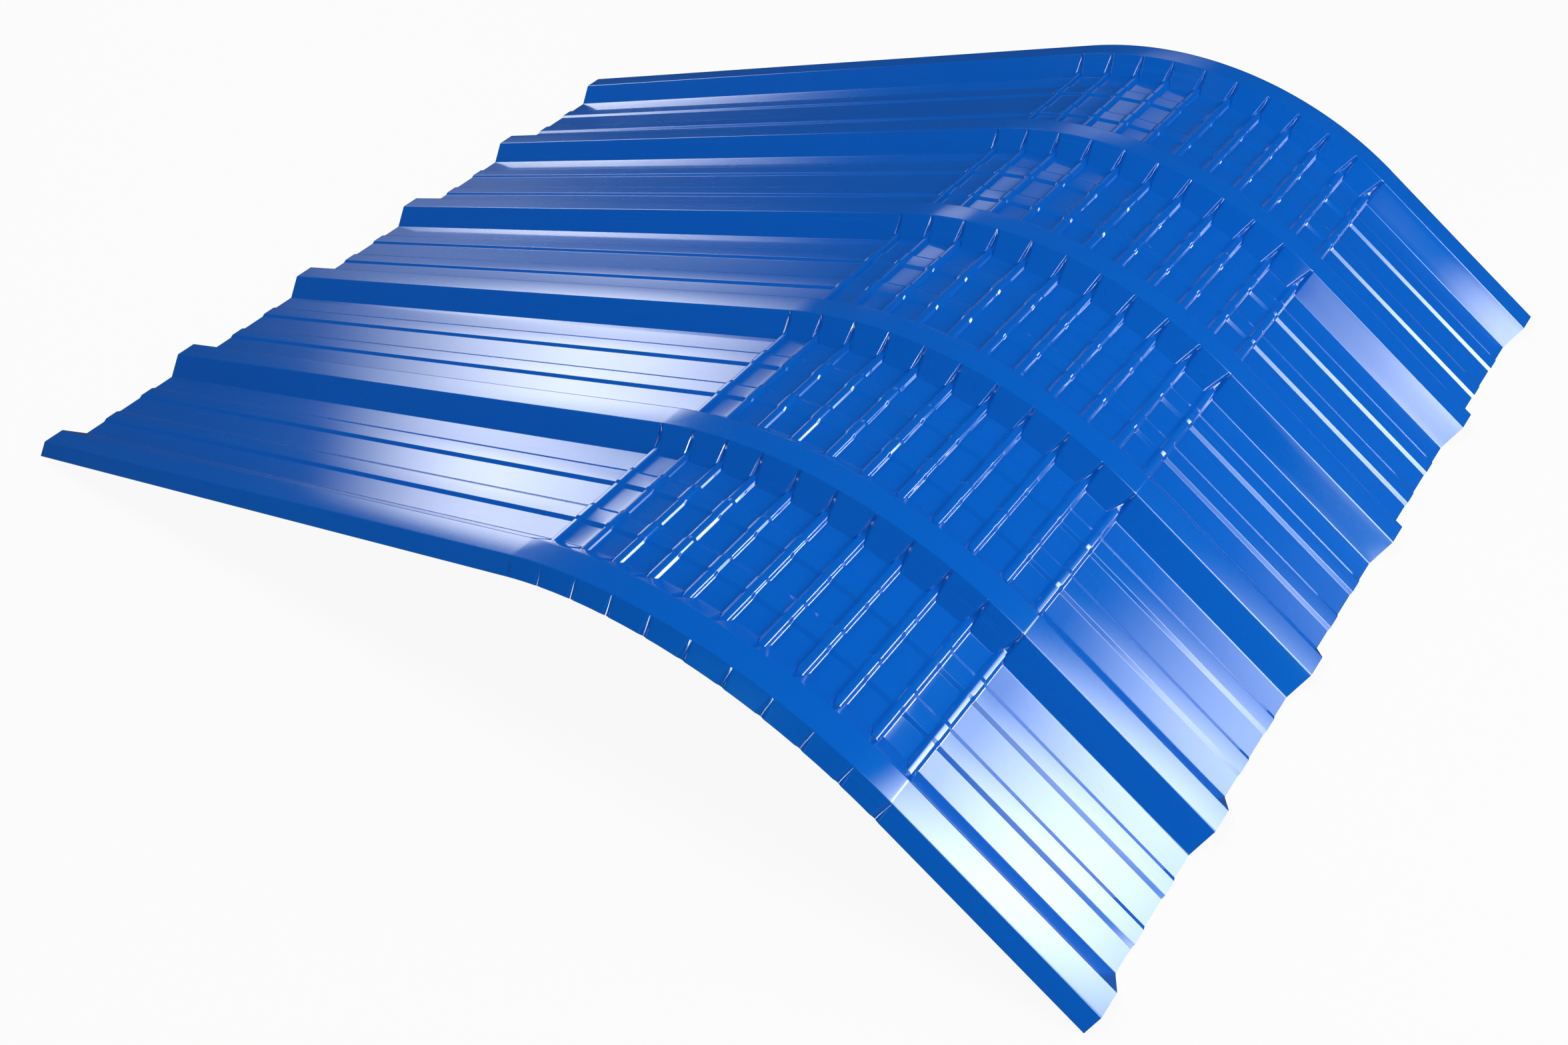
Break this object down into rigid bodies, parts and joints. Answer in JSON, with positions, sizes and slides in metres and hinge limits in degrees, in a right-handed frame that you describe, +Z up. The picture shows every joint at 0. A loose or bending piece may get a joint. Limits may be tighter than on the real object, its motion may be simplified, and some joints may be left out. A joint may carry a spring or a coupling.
{
  "type": "trapezoidal roofing sheet",
  "caption": "Painted steel roofing sheet with trapezoidal ribs and beaded pans, curved by a row of pressed crimps between a long and a short straight leg.",
  "frame": {"origin": "centre of the footprint, on the floor that the two cut ends stand on", "axes": "+X along the ribs, from the long leg to the short leg; +Y across the sheet, from its front edge to its back edge; +Z up"},
  "size_m": [1.4146, 1.0524, 0.2498],
  "materials": {
    "blue_paint": "gloss"
  },
  "bodies": {
    "root": {"roofing_sheet": "blue_paint"}
  },
  "joints": []
}
